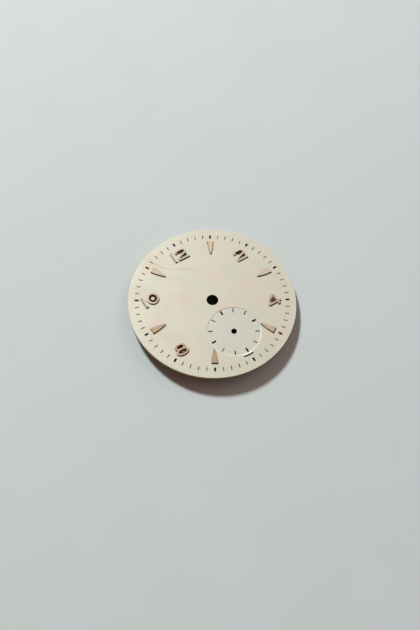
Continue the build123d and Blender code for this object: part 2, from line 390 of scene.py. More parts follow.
def calc(tree, operation, *values):
    """Result of a Math node."""
    made = node(tree, "ShaderNodeMath", operation=operation)
    for socket, value in zip(made.inputs, values):
        feed(tree, socket, value)
    return made.outputs[0]


def vector(tree, operation, *values):
    """Result of a Vector Math node, a number for the operations that measure."""
    made = node(tree, "ShaderNodeVectorMath", operation=operation)
    for socket, value in zip(made.inputs, values):
        feed(tree, socket, value)
    measures = operation in ("DISTANCE", "DOT_PRODUCT", "LENGTH")
    return made.outputs["Value" if measures else "Vector"]


def scaled(tree, value, factor):
    """Value times a factor."""
    return calc(tree, "MULTIPLY", value, factor)


def raised(tree, value, mask, amount):
    """Value raised by an amount where the mask is 1."""
    return calc(tree, "MULTIPLY_ADD", mask, amount, value)


def between(tree, mask, at_zero, at_one):
    """Value that goes evenly from at_zero, where the mask is 0, to at_one, where it is 1."""
    return raised(tree, at_zero, mask, at_one - at_zero)


def largest(tree, values):
    """Largest of several values."""
    result = values[0]
    for value in values[1:]:
        result = calc(tree, "MAXIMUM", result, value)
    return result


def ramp(tree, value, start, end, low=0.0, high=1.0):
    """Smooth step of a value from start to end, put out from low to high."""
    made = node(tree, "ShaderNodeMapRange", interpolation_type="SMOOTHSTEP")
    for socket, given in zip(made.inputs, (value, start, end, low, high)):
        feed(tree, socket, given)
    return made.outputs[0]


def blend_colour(tree, share, first, second):
    """Mix of two colours, each a socket or three numbers."""
    made = node(tree, "ShaderNodeMix", data_type="RGBA", clamp_factor=True)
    feed(tree, made.inputs["Factor"], share)
    for socket, value in zip(made.inputs[6:8], (first, second)):
        feed(tree, socket, value if isinstance(value, bpy.types.NodeSocket) else (*value, 1.0))
    return made.outputs[2]


def darker(given, share):
    """Three numbers of a colour times a share."""
    return tuple(share * value for value in given)


def noise(tree, coordinates, scale, detail=2.0):
    """Noise from 0 to 1."""
    made = node(tree, "ShaderNodeTexNoise")
    feed(tree, made.inputs["Vector"], coordinates)
    feed(tree, made.inputs["Scale"], scale)
    feed(tree, made.inputs["Detail"], detail)
    return made.outputs[0]


def level_radius(tree, coordinates):
    """Distance of the coordinates from the upright line through their origin."""
    return vector(tree, "LENGTH", vector(tree, "MULTIPLY", coordinates, (1, 1, 0)))


def moved(tree, coordinates, offset):
    """Coordinates moved by an offset."""
    return vector(tree, "ADD", coordinates, offset)


def new_group(name, outlet, **inputs):
    """Empty node group that takes coordinates and the named inputs and gives one number."""
    tree = bpy.data.node_groups.new(name, "ShaderNodeTree")
    for socket, default in {"coordinates": (0, 0, 0), **inputs}.items():
        kind = "NodeSocketVector" if isinstance(default, tuple) else "NodeSocketFloat"
        made = tree.interface.new_socket(socket.capitalize(), in_out="INPUT", socket_type=kind)
        made.default_value = default
    tree.interface.new_socket(outlet, in_out="OUTPUT", socket_type="NodeSocketFloat")
    given = tree.nodes.new("NodeGroupInput").outputs
    return tree, given, tree.nodes.new("NodeGroupOutput").inputs[0]


def clouds_group():
    """Soft blotches of a given size."""
    tree, given, mask = new_group(
        "soft_clouds", "Mask", size=3 * MM, detail=3.0, start=0.4, end=0.7
    )
    scale = calc(tree, "DIVIDE", 1.0, given["Size"])
    blotches = noise(tree, given["Coordinates"], scale, given["Detail"])
    feed(tree, mask, ramp(tree, blotches, given["Start"], given["End"]))


def grain_group():
    """Fine grain, drawn out along one direction."""
    tree, given, height = new_group("drawn_grain", "Height", stretch=(1, 1, 1), size=0.05 * MM)
    stretched = vector(tree, "MULTIPLY", given["Coordinates"], given["Stretch"])
    feed(tree, height, noise(tree, stretched, calc(tree, "DIVIDE", 1.0, given["Size"])))


def rings_group():
    """Turning lines round the origin of the coordinates, uneven in depth."""
    changes_per_line = 0.7
    tree, given, height = new_group("turning_lines", "Height", pitch=0.08 * MM)
    turns = calc(tree, "DIVIDE", level_radius(tree, given["Coordinates"]), given["Pitch"])
    wave = calc(tree, "SINE", scaled(tree, turns, math.tau))
    depth = node(tree, "ShaderNodeTexNoise", noise_dimensions="1D")
    feed(tree, depth.inputs["W"], turns)
    feed(tree, depth.inputs["Scale"], changes_per_line)
    feed(tree, height, calc(tree, "MULTIPLY", wave, depth.outputs[0]))


def hairline_group():
    """One fine curved scratch that fades in and out along its length."""
    fades_per_metre = 260.0
    tree, given, mask = new_group(
        "curved_hairline", "Mask",
        centre=(0, 0, 0), radius=10 * MM, width=0.06 * MM, middle=(0, 0, 0), reach=4 * MM,
    )
    distance = vector(tree, "DISTANCE", given["Coordinates"], given["Centre"])
    off = calc(tree, "ABSOLUTE", calc(tree, "SUBTRACT", distance, given["Radius"]))
    line = ramp(tree, off, 0.0, given["Width"], 1.0, 0.0)
    along = vector(tree, "DISTANCE", given["Coordinates"], given["Middle"])
    share = calc(tree, "DIVIDE", along, given["Reach"])
    drawn = calc(tree, "MULTIPLY", line, ramp(tree, share, 0.7, 1.0, 1.0, 0.0))
    fade = ramp(tree, noise(tree, given["Coordinates"], fades_per_metre), 0.3, 0.5)
    feed(tree, mask, calc(tree, "MULTIPLY", drawn, fade))


def specks_group():
    """Sparse specks of tarnish."""
    tree, given, mask = new_group("tarnish_specks", "Mask", spacing=1.5 * MM, size=0.12)
    cells = node(tree, "ShaderNodeTexVoronoi")
    feed(tree, cells.inputs["Vector"], given["Coordinates"])
    feed(tree, cells.inputs["Scale"], calc(tree, "DIVIDE", 1.0, given["Spacing"]))
    own_size = node(tree, "ShaderNodeSeparateColor")
    feed(tree, own_size.inputs[0], cells.outputs["Color"])
    reach = calc(tree, "MULTIPLY", own_size.outputs[0], given["Size"])
    feed(tree, mask, ramp(tree, cells.outputs["Distance"], 0.0, reach, 1.0, 0.0))


def oval_patch_group():
    """Oval patch, which may leave its middle clean: grime with painted shade, or tarnish."""
    clean_edge = 0.25
    tree, given, mask = new_group(
        "oval_patch", "Mask", centre=(0, 0, 0), reach=(1 * MM, 1 * MM, 1 * MM), clean=0.0
    )
    offset = vector(tree, "SUBTRACT", given["Coordinates"], given["Centre"])
    distance = vector(tree, "LENGTH", vector(tree, "DIVIDE", offset, given["Reach"]))
    outer = ramp(tree, distance, 0.85, 1.15, 1.0, 0.0)
    clean_start = calc(tree, "SUBTRACT", given["Clean"], clean_edge)
    inner = ramp(tree, distance, clean_start, given["Clean"])
    feed(tree, mask, calc(tree, "MULTIPLY", outer, inner))


def shadow_seam_group():
    """Narrow band of painted shadow and grime along a straight line, the same at every height."""
    tree, given, mask = new_group(
        "straight_shadow_seam", "Mask",
        start=(0, 0, 0), run=(1 * MM, 0, 0), width=0.1 * MM, strength=1.0,
    )
    offset = vector(tree, "SUBTRACT", given["Coordinates"], given["Start"])
    level = vector(tree, "MULTIPLY", offset, (1, 1, 0))
    along = vector(tree, "DOT_PRODUCT", level, given["Run"])
    whole = vector(tree, "DOT_PRODUCT", given["Run"], given["Run"])
    share = calc(tree, "MAXIMUM", calc(tree, "DIVIDE", along, whole), 0.0)
    nearest = vector(tree, "MULTIPLY", given["Run"], calc(tree, "MINIMUM", share, 1.0))
    distance = calc(tree, "DIVIDE", vector(tree, "DISTANCE", level, nearest), given["Width"])
    band = ramp(tree, distance, 0.4, 1.0, 1.0, 0.0)
    feed(tree, mask, calc(tree, "MULTIPLY", band, given["Strength"]))


def place_group(tree, name, coordinates, **values):
    """Output of a node group placed in a material."""
    made = node(tree, "ShaderNodeGroup", node_tree=bpy.data.node_groups[name])
    for socket, value in {"coordinates": coordinates, **values}.items():
        feed(tree, made.inputs[socket.capitalize()], value)
    return made.outputs[0]


def clouds(tree, where, size, start, end, detail=3.0):
    """Mask of soft clouds of a size in millimetres, over the noise values from start to end."""
    return place_group(
        tree, "soft_clouds", where, size=size * MM, start=start, end=end, detail=detail
    )


def relief(tree, shader, height, depth):
    """Bump of a height mask that feeds the shader's normal."""
    bump = node(tree, "ShaderNodeBump")
    feed(tree, bump.inputs["Strength"], 1.0)
    feed(tree, bump.inputs["Distance"], depth)
    feed(tree, bump.inputs["Height"], height)
    feed(tree, shader.inputs["Normal"], bump.outputs[0])


def grained(tree, shader, where, size, depth, stretch=(1.0, 1.0, 1.0)):
    """Relief of fine grain of a size and a depth in millimetres."""
    grain = place_group(tree, "drawn_grain", where, size=size * MM, stretch=stretch)
    relief(tree, shader, grain, depth * MM)


def new_finish(name, **shader_values):
    """Material with constants on its shader's own sockets, as its tree, shader and coordinates."""
    material = bpy.data.materials.new(name)
    material.use_nodes = True
    tree = material.node_tree
    shader = tree.nodes["Principled BSDF"]
    for socket, value in shader_values.items():
        shader.inputs[socket.replace("_", " ").title().replace("Ior", "IOR")].default_value = value
    return tree, shader, node(tree, "ShaderNodeTexCoord").outputs["Object"]


def dress(tree, shader, base, roughness):
    """Feeds a shader its colour and its roughness."""
    feed(tree, shader.inputs["Base Color"], base)
    feed(tree, shader.inputs["Roughness"], roughness)


def clouded_finish(name, colours, clouding, roughness, share=1.0, **shader_values):
    """Material that goes in clouds from one colour and roughness toward another.

    The clouding is the size, start, end and perhaps detail of the clouds, and the share is how far
    the colour goes.
    """
    tree, shader, where = new_finish(name, **shader_values)
    mask = clouds(tree, where, *clouding)
    base = blend_colour(tree, scaled(tree, mask, share), *colours)
    dress(tree, shader, base, between(tree, mask, *roughness))
    return tree, shader, where


def shadow_seam_lines():
    """Ends and strength of every straight line of painted shadow and grime on the face."""
    lines = []
    for name, seams in SHADOW_SEAMS.items():
        middle = middle_of(name)
        for x1, y1, x2, y2, strength in seams:
            start, end = (
                Vector((middle.x + x * MM, middle.y + y * MM, 0)) for x, y in ((x1, y1), (x2, y2))
            )
            lines.append((start, end, strength))
    sizes = bpy.context.scene.applied_sizes
    outer = sizes.marker_outer_radius
    for hour, (left, right, end) in MARKER_SHADOW_SEAMS.items():
        turn = Matrix.Rotation(clock_turn(hour), 3, "Z")
        tip = turn @ Vector((0, outer - sizes.marker_length, 0))
        left_corner, right_corner = (
            turn @ Vector((side * sizes.marker_outer_width / 2, outer, 0)) for side in (-1, 1)
        )
        lines += [
            (left_corner, tip, left), (right_corner, tip, right), (left_corner, right_corner, end)
        ]
    return [line for line in lines if line[2] > 0]


def patches(tree, where, table):
    """Mask of a table's oval patches, each as strong as the table says."""
    masks = []
    for name, rows in table.items():
        middle = middle_of(name)
        for x, y, half_width, half_height, clean, strength in rows:
            mask = place_group(
                tree, "oval_patch", where, clean=clean,
                centre=(middle.x + x * MM, middle.y + y * MM, FACE_Z),
                reach=(half_width * MM, half_height * MM, 1.0),
            )
            masks.append(scaled(tree, mask, strength))
    return largest(tree, masks)


def silvered_face(colours):
    """Aged silvered face: rosy and green clouds, a yellowed rim, scratches, specks, and grime with
    painted shade in the counters and painted shadow along the applied pieces.
    """
    tree, shader, where = new_finish("silvered_face", specular_ior_level=0.2)
    cloud_share = 0.7
    elsewhere = moved(tree, where, (31 * MM, 17 * MM, 0.0))
    rosy = clouds(tree, where, size=4.2, start=0.46, end=0.62)
    greenish = clouds(tree, elsewhere, size=3.1, start=0.48, end=0.62)
    base = blend_colour(tree, scaled(tree, rosy, cloud_share), colours.silver, colours.silver_rose)
    base = blend_colour(tree, scaled(tree, greenish, cloud_share), base, colours.silver_green)
    near_rim = ramp(
        tree, level_radius(tree, where), 0.91 * PLATE_RADIUS, 0.99 * PLATE_RADIUS, 0.0, 0.7
    )
    base = blend_colour(tree, near_rim, base, colours.rim_silver)
    specks = place_group(tree, "tarnish_specks", where, spacing=1.3 * MM, size=0.09)
    base = blend_colour(tree, scaled(tree, specks, 0.4), base, colours.grime_and_shade)
    for centre, middle, bend, reach, width, strength in SCRATCHES:
        scratch = place_group(
            tree, "curved_hairline", where, radius=bend * MM, reach=reach * MM, width=width * MM,
            centre=(centre[0] * MM, centre[1] * MM, FACE_Z),
            middle=(middle[0] * MM, middle[1] * MM, FACE_Z),
        )
        base = blend_colour(tree, scaled(tree, scratch, strength), base, colours.grime_and_shade)
    # Grime with painted shade darkens the counters of the figures
    inside = patches(tree, where, COUNTER_GRIME_AND_SHADE)
    # Painted shadow, with some grime, along the straight edges of the applied pieces
    edges = largest(tree, [
        place_group(
            tree, "straight_shadow_seam", where,
            start=start, run=end - start, width=SHADOW_SEAM_WIDTH, strength=strength,
        )
        for start, end, strength in shadow_seam_lines()
    ])
    base = blend_colour(tree, inside, base, colours.grime_and_shade)
    base = blend_colour(tree, edges, base, colours.edge_shade_and_grime)
    # Where the grime and painted shade lie, the face is less metallic and rougher
    grime_and_shade_mask = calc(tree, "MAXIMUM", inside, edges)
    feed(tree, shader.inputs["Metallic"], ramp(tree, grime_and_shade_mask, 0.0, 1.0, 0.12, 0.0))
    polish = between(tree, rosy, 0.46, 0.54)
    dress(tree, shader, base, raised(tree, polish, grime_and_shade_mask, 0.45))
    grained(tree, shader, where, size=0.07, depth=0.0025)


def turned_seconds(colours):
    """Floor of the seconds circle, with fine turning lines round its hole."""
    tree, shader, where = clouded_finish(
        "turned_seconds", (colours.seconds_silver, darker(colours.seconds_silver, 0.93)),
        clouding=(2.2, 0.45, 0.7), roughness=(0.38, 0.48), metallic=0.12,
    )
    centred = moved(tree, where, -SECONDS_MIDDLE)
    lines = place_group(tree, "turning_lines", centred, pitch=0.05 * MM)
    relief(tree, shader, lines, 0.0006 * MM)


def recess_wall(colours):
    """Smooth turned wall of the sunk circle and bevels of the holes, painted lighter than the face
    as a highlight.
    """
    clouded_finish(
        "recess_wall", (colours.wall_highlight_silver, colours.silver),
        clouding=(1.2, 0.4, 0.75), roughness=(0.4, 0.5), metallic=0.12,
    )


def grimy_flank(colours):
    """Outer flank of the lip, darkened with painted shade."""
    clouded_finish(
        "grimy_flank", (colours.edge_shade_and_grime, colours.silver),
        clouding=(0.6, 0.35, 0.8), roughness=(0.7, 0.55), share=0.3, specular_ior_level=0.2,
    )


def brass_back(colours):
    """Bare brass of the back, the rim and the holes, dulled in clouds."""
    tree, shader, where = clouded_finish(
        "brass_back", (colours.brass, darker(colours.brass, 0.62)),
        clouding=(2.5, 0.4, 0.7, 6.0), roughness=(0.3, 0.52), metallic=1.0,
    )
    grained(tree, shader, where, size=0.05, depth=0.006, stretch=(1.0, 0.06, 1.0))


def gilt_top(colours):
    """Gilt top with fine lengthwise grain and duller clouds, each piece with a wear of its own."""
    tree, shader, where = new_finish("applied_gilt", metallic=0.2, specular_ior_level=0.35)
    tarnished, rubbed = (
        node(tree, "ShaderNodeAttribute", attribute_name=name).outputs["Fac"]
        for name in ("tarnished", "rubbed")
    )
    dull = clouds(tree, where, size=1.6, start=0.4, end=0.65)
    patchy = raised(tree, tarnished, dull, 0.25)
    brown = patches(tree, where, TARNISH)
    base = blend_colour(tree, rubbed, colours.gilt, colours.rubbed_gilt)
    base = blend_colour(tree, patchy, base, colours.tarnished_gilt)
    base = blend_colour(tree, brown, base, colours.grime_and_shade)
    dress(tree, shader, base, between(tree, largest(tree, (patchy, brown)), 0.55, 0.65))
    grained(tree, shader, where, size=0.03, depth=0.002, stretch=(1.0, 0.1, 1.0))


def gilt_side(colours):
    """Sides of the applied pieces, brown with tarnish and painted shade, darkest at the face, with
    a little gilt left near the top.
    """
    tree, shader, where = new_finish("applied_gilt_side", metallic=0.1, specular_ior_level=0.15)
    # Darker towards the face: tarnish with painted shade
    low = ramp(tree, vector(tree, "DOT_PRODUCT", where, UP), FACE_Z, APPLIED_TOP_Z, 1.0, 0.85)
    patchy = between(tree, clouds(tree, where, size=0.5, start=0.3, end=0.8), 0.9, 1.0)
    tarnish = calc(tree, "MULTIPLY", low, patchy)
    base = blend_colour(tree, tarnish, colours.side_gilt, colours.gilt_shade)
    dress(tree, shader, base, between(tree, tarnish, 0.5, 0.6))


def copper_foot(colours):
    """Turned copper of the feet, darkened in patches."""
    tree, shader, where = clouded_finish(
        "copper_foot", (colours.copper, darker(colours.copper, 0.5)),
        clouding=(0.5, 0.35, 0.75), roughness=(0.3, 0.5), metallic=1.0,
    )
    grained(tree, shader, where, size=0.03, depth=0.004, stretch=(0.1, 0.1, 1.0))


def printed_ink(name, ink, under, wear):
    """Printed ink that is worn thin in places."""
    tree, shader, where = clouded_finish(
        name, (ink, under),
        clouding=(1.1, 0.35, 0.75), roughness=(0.6, 0.8), share=wear, specular_ior_level=0.05,
    )
    grained(tree, shader, where, size=0.03, depth=0.002)


def build_finishes():
    """Makes every node group and material of the dial."""
    colours = bpy.context.scene.dial_colours
    for make in (
        clouds_group, grain_group, rings_group, hairline_group, specks_group, oval_patch_group,
        shadow_seam_group,
    ):
        make()
    for make in (
        silvered_face, turned_seconds, recess_wall, grimy_flank, brass_back, gilt_top, gilt_side,
        copper_foot,
    ):
        make(colours)
    printed_ink("printed_black", colours.ink, colours.faded_ink, 0.12)
    printed_ink("printed_grey", colours.faded_ink, colours.silver, 0.35)


# Mesh helpers


def new_mesh(name, bm):
    """Mesh made of a bmesh, which is used up."""
    mesh = bpy.data.meshes.new(name)
    bm.to_mesh(mesh)
    bm.free()
    return mesh


def new_object(name, data):
    """Object in the scene that shows the given data."""
    made = bpy.data.objects.new(name, data)
    bpy.context.scene.collection.objects.link(made)
    return made


def finish_piece(bm, name, finishes, nodes, choose=None):
    """Turns a bmesh into a piece that rides on the dial and stands for CAD nodes."""
    bmesh.ops.recalc_face_normals(bm, faces=bm.faces)
    for face in bm.faces:
        face.smooth = True
        if choose is not None:
            face.material_index = finishes.index(choose(face))
    for edge in bm.edges:
        level = any(abs(face.normal.z) > LEVEL for face in edge.link_faces)
        turn = edge.calc_face_angle(0)
        edge.smooth = turn < SHARP_TURN and (turn < LEAST_TURN or not level)
    mesh = new_mesh(name, bm)
    for finish in finishes:
        mesh.materials.append(bpy.data.materials[finish])
    piece = new_object(name, mesh)
    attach(piece, "root")
    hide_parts(*nodes)


def turned_solid(bm, profile, middle, steps):
    """Spins a closed outline of (radius, height) points round an upright line."""
    verts = [bm.verts.new(middle + Vector((radius, 0, z))) for radius, z in profile]
    edges = [bm.edges.new(pair) for pair in zip(verts, verts[1:])]
    if profile[0][0] > 0:
        edges.append(bm.edges.new((verts[-1], verts[0])))
    bmesh.ops.spin(
        bm, geom=verts + edges, cent=middle, axis=UP, angle=math.tau, steps=steps, use_merge=True
    )
    bmesh.ops.remove_doubles(bm, verts=bm.verts, dist=TURNED_WELD)


def rounded_corner(radius, z, bevel, outwards):
    """Points of a quarter round that replaces an upper corner of a profile."""
    side = 1 if outwards else -1
    turns = [math.pi / 2 * step / CORNER_STEPS for step in range(CORNER_STEPS + 1)]
    return [
        (radius - side * bevel * (1 - math.cos(turn)), z - bevel * (1 - math.sin(turn)))
        for turn in turns
    ]


def helper(name, bm):
    """Object made of a bmesh, for use in a boolean."""
    bmesh.ops.recalc_face_normals(bm, faces=bm.faces)
    return new_object(name, new_mesh(name, bm))


def turned_helper(name, profile, middle, steps):
    """Turned object for use in a boolean."""
    bm = bmesh.new()
    turned_solid(bm, profile, middle, steps)
    return helper(name, bm)


def joined_by(base, operation, other):
    """Applies one exact boolean to an object and removes the other."""
    modifier = base.modifiers.new("Cut", "BOOLEAN")
    modifier.operation = operation
    modifier.solver = "EXACT"
    modifier.object = other
    evaluated = base.evaluated_get(bpy.context.evaluated_depsgraph_get())
    shaped = bpy.data.meshes.new_from_object(evaluated)
    base.modifiers.remove(modifier)
    old = base.data
    base.data = shaped
    bpy.data.meshes.remove(old)
    bpy.data.meshes.remove(other.data)


def points_of(geometry):
    """The vertices among mixed geometry."""
    return [item for item in geometry if isinstance(item, bmesh.types.BMVert)]


def raise_piece(bm, height, bevel):
    """Raises flat faces to a solid whose upper edge is rounded."""
    extruded = bmesh.ops.extrude_face_region(bm, geom=bm.faces[:])["geom"]
    top = [item for item in extruded if isinstance(item, bmesh.types.BMFace)]
    bmesh.ops.translate(bm, verts=points_of(extruded), vec=UP * (height - bevel))
    bmesh.ops.recalc_face_normals(bm, faces=bm.faces)
    for step in range(EDGE_STEPS):
        before, after = (math.pi / 2 * turn / EDGE_STEPS for turn in (step, step + 1))
        run = bevel * (math.cos(before) - math.cos(after))
        rise = bevel * (math.sin(after) - math.sin(before))
        bmesh.ops.inset_region(
            bm, faces=top, thickness=run, depth=rise, use_boundary=True, use_even_offset=True
        )
        bm.normal_update()


# Flat outlines of the applied pieces, each round its own middle


def upright_bar(bm, width, height):
    """Level rectangle."""
    made = bmesh.ops.create_grid(bm, x_segments=1, y_segments=1, size=0.5)
    bmesh.ops.scale(bm, vec=(width, height, 1), verts=made["verts"])


def oval(bm, width, height, middle_y):
    """Closed loop of edges in the shape of an oval."""
    made = bmesh.ops.create_circle(bm, segments=OVAL_STEPS, radius=0.5)["verts"]
    bmesh.ops.scale(bm, vec=(width, height, 1), verts=made)
    bmesh.ops.translate(bm, vec=(0, middle_y, 0), verts=made)
    return made


def loop_edges(verts):
    """Edges of a loop of vertices."""
    return list({edge for vert in verts for edge in vert.link_edges})


def outline_one(bm, sizes):
    """Plain upright bar."""
    upright_bar(bm, sizes.one_width, sizes.numeral_height)


def outline_zero(bm, sizes):
    """Round ring."""
    outer = oval(bm, sizes.zero_width, sizes.numeral_height, 0)
    inner = oval(
        bm, sizes.zero_width - 2 * sizes.upright, sizes.numeral_height - 2 * sizes.level, 0
    )
    bmesh.ops.bridge_loops(bm, edges=loop_edges(outer) + loop_edges(inner))


def half_width_at(y, bowl):
    """Half the width of an oval of (half width, half height, middle) at a height."""
    half_width, half_height, middle_y = bowl
    return half_width * math.sqrt(max(0, 1 - ((y - middle_y) / half_height) ** 2))


def crossing_height(lower, upper):
    """Height at which two such ovals cross, found by halving."""
    halvings = 40
    low = upper[2] - upper[1]
    high = lower[2] + lower[1]
    for _ in range(halvings):
        y = (low + high) / 2
        low, high = (y, high) if half_width_at(y, lower) > half_width_at(y, upper) else (low, y)
    return (low + high) / 2


def outline_eight(bm, sizes):
    """Wide lower bowl and narrower upper bowl that share one level stroke."""
    height, level, upright = sizes.numeral_height, sizes.level, sizes.upright
    lower_height = EIGHT_LOWER_COUNTER * (height - 3 * level) + 2 * level
    upper_height = height + level - lower_height
    lower_y = (lower_height - height) / 2
    upper_y = (height - upper_height) / 2
    crossing = crossing_height(
        (sizes.eight_lower_width / 2, lower_height / 2, lower_y),
        (sizes.eight_upper_width / 2, upper_height / 2, upper_y),
    )
    for bowl_width, bowl_height, bowl_y, is_lower in (
        (sizes.eight_lower_width, lower_height, lower_y, True),
        (sizes.eight_upper_width, upper_height, upper_y, False),
    ):
        bowl = oval(bm, bowl_width, bowl_height, bowl_y)
        bmesh.ops.bisect_plane(
            bm, geom=bowl + loop_edges(bowl), plane_co=(0, crossing, 0), plane_no=(0, 1, 0),
            clear_outer=is_lower, clear_inner=not is_lower,
        )
    bmesh.ops.remove_doubles(bm, verts=bm.verts, dist=OUTLINE_WELD)
    oval(bm, sizes.eight_lower_width - 2 * upright, lower_height - 2 * level, lower_y)
    oval(bm, sizes.eight_upper_width - 2 * upright, upper_height - 2 * level, upper_y)
    bmesh.ops.triangle_fill(bm, edges=bm.edges, use_beauty=True, use_dissolve=False)


def arc_of(bm, edge, middle, degrees):
    """Spins the end of a stroke round a point, and gives its new end."""
    swept = bmesh.ops.spin(
        bm, geom=[edge, *edge.verts], cent=(*middle, 0), axis=UP, angle=math.radians(degrees),
        steps=ARC_STEPS,
    )
    return next(item for item in swept["geom_last"] if isinstance(item, bmesh.types.BMEdge))


def line_of(bm, edge, run, rise):
    """Draws the end of a stroke along a straight line, and gives its new end."""
    drawn = bmesh.ops.extrude_edge_only(bm, edges=[edge])["geom"]
    bmesh.ops.translate(bm, vec=(run, rise, 0), verts=points_of(drawn))
    return next(
        item
        for item in drawn
        if isinstance(item, bmesh.types.BMEdge) and not set(item.verts) & set(edge.verts)
    )


def outline_two(bm, sizes):
    """One stroke through hook, top, shoulder, back, slope and foot, then the base bar."""
    height, level, width = sizes.numeral_height, sizes.level, sizes.two_width
    half = level / 2
    hook, shoulder, back, foot = (
        share * height for share in (TWO_HOOK, TWO_SHOULDER, TWO_BACK, TWO_FOOT)
    )
    turn = math.radians(TWO_SLOPE_DEGREES)
    start_y = height - half - hook
    end = bm.edges.new((bm.verts.new((0, start_y, 0)), bm.verts.new((level, start_y, 0))))
    end = arc_of(bm, end, (half + hook, start_y), -90)
    top_end = width - half - shoulder
    end = line_of(bm, end, top_end - half - hook, 0)
    end = arc_of(bm, end, (top_end, height - half - shoulder), -90)
    end = arc_of(bm, end, (width - half - back, height - half - shoulder), -TWO_SLOPE_DEGREES)
    slope_x = width - half - back * (1 - math.cos(turn))
    slope_y = height - half - shoulder - back * math.sin(turn)
    foot_x = half + foot * (1 - math.cos(turn))
    drop = (slope_x - foot_x) / math.tan(turn)
    end = line_of(bm, end, foot_x - slope_x, -drop)
    foot_y = slope_y - drop - foot * math.sin(turn)
    end = arc_of(bm, end, (half + foot, foot_y), TWO_SLOPE_DEGREES)
    heel = line_of(bm, end, 0, -foot_y)
    inner_right = 1.05 * level
    inner = [
        edge
        for edge in bm.edges
        if len(edge.link_faces) == 1
        and edge is not heel
        and all(vert.co.y < level and half < vert.co.x < inner_right for vert in edge.verts)
    ]
    for vert in points_of(bmesh.ops.extrude_edge_only(bm, edges=inner)["geom"]):
        vert.co.x = width
    bmesh.ops.translate(bm, vec=(-width / 2, -height / 2, 0), verts=bm.verts)


def outline_four(bm, sizes):
    """Stem, level bar and slope round a three-cornered counter."""
    height, width = sizes.numeral_height, sizes.four_width
    level, upright = sizes.level, sizes.upright
    stem_right = FOUR_STEM_OF_WIDTH * width + upright / 2
    stem_left = stem_right - upright
    bar_top = FOUR_BAR * height + level / 2
    bar_bottom = bar_top - level
    slope_top = stem_left - level
    rise = (height - bar_top) / slope_top
    counter_left = upright * math.sqrt(1 + 1 / rise**2)
    counter_top = bar_top + rise * (stem_left - counter_left)
    corners = (
        (0, bar_bottom), (stem_left, bar_bottom), (stem_left, 0), (stem_right, 0),
        (stem_right, bar_bottom), (width, bar_bottom), (width, bar_top), (stem_right, bar_top),
        (stem_right, height), (slope_top, height), (0, bar_top),
    )
    counter = ((counter_left, bar_top), (stem_left, bar_top), (stem_left, counter_top))
    for loop in (corners, counter):
        verts = [bm.verts.new((x, y, 0)) for x, y in loop]
        for pair in zip(verts, verts[1:] + verts[:1]):
            bm.edges.new(pair)
    bmesh.ops.translate(bm, vec=(-width / 2, -height / 2, 0), verts=bm.verts)
    bmesh.ops.triangle_fill(bm, edges=bm.edges, use_beauty=True, use_dissolve=False)


def outline_marker(bm, sizes):
    """Tapered bar with bowed sides that points at the centre, its wide end outwards."""
    rows = 16
    half_length = sizes.marker_length / 2
    mean_end = (sizes.marker_outer_width + sizes.marker_tip_width) / 2
    taper = (sizes.marker_outer_width - sizes.marker_tip_width) / 2
    bmesh.ops.create_grid(bm, x_segments=1, y_segments=rows, size=0.5)
    for vert in bm.verts:
        along = 2 * vert.co.y
        bow = (sizes.marker_middle_width - mean_end) * (1 - along**2)
        vert.co.x *= mean_end + taper * along + bow
        vert.co.y = along * half_length


FIGURES = {
    "numeral_12_one": ("gilt_12_one", outline_one),
    "numeral_12_two": ("gilt_12_two", outline_two),
    "numeral_2": ("gilt_2", outline_two),
    "numeral_4": ("gilt_4", outline_four),
    "numeral_8": ("gilt_8", outline_eight),
    "numeral_10_one": ("gilt_10_one", outline_one),
    "numeral_10_zero": ("gilt_10_zero", outline_zero),
}


def stud_places(cad_node):
    """Places of the two studs of an applied CAD node, read from their heads at the back."""
    at_back = 0.01 * MM
    head_width = 2.1 * bpy.context.scene.applied_sizes.rivet_radius
    low = [vert.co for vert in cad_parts[cad_node].data.vertices if vert.co.z < at_back]
    places = []
    for is_first in (True, False):
        head = [spot for spot in low if ((spot - low[0]).length < head_width) == is_first]
        xs = [spot.x for spot in head]
        ys = [spot.y for spot in head]
        places.append(Vector((min(xs) + max(xs), min(ys) + max(ys), 0)) / 2)
    return places


def add_stud(bm, sizes, place):
    """Stud with its riveted head flush with the back."""
    profile = [
        (0, 0),
        (sizes.rivet_radius, 0),
        (sizes.stud_radius, sizes.rivet_depth),
        (sizes.stud_radius, FACE_Z + sizes.bevel),
        (0, FACE_Z + sizes.bevel),
    ]
    turned_solid(bm, profile, place, STUD_STEPS)


def add_stud_hole(bm, sizes, place):
    """Cutter for a stud's hole, countersunk at the back."""
    radius = sizes.stud_radius + sizes.stud_clearance
    slope = (sizes.rivet_radius - sizes.stud_radius) / sizes.rivet_depth
    profile = [
        (0, -sizes.rivet_depth),
        (radius + 2 * slope * sizes.rivet_depth, -sizes.rivet_depth),
        (radius, sizes.rivet_depth),
        (radius, 2 * FACE_Z),
        (0, 2 * FACE_Z),
    ]
    turned_solid(bm, profile, place, STUD_STEPS)


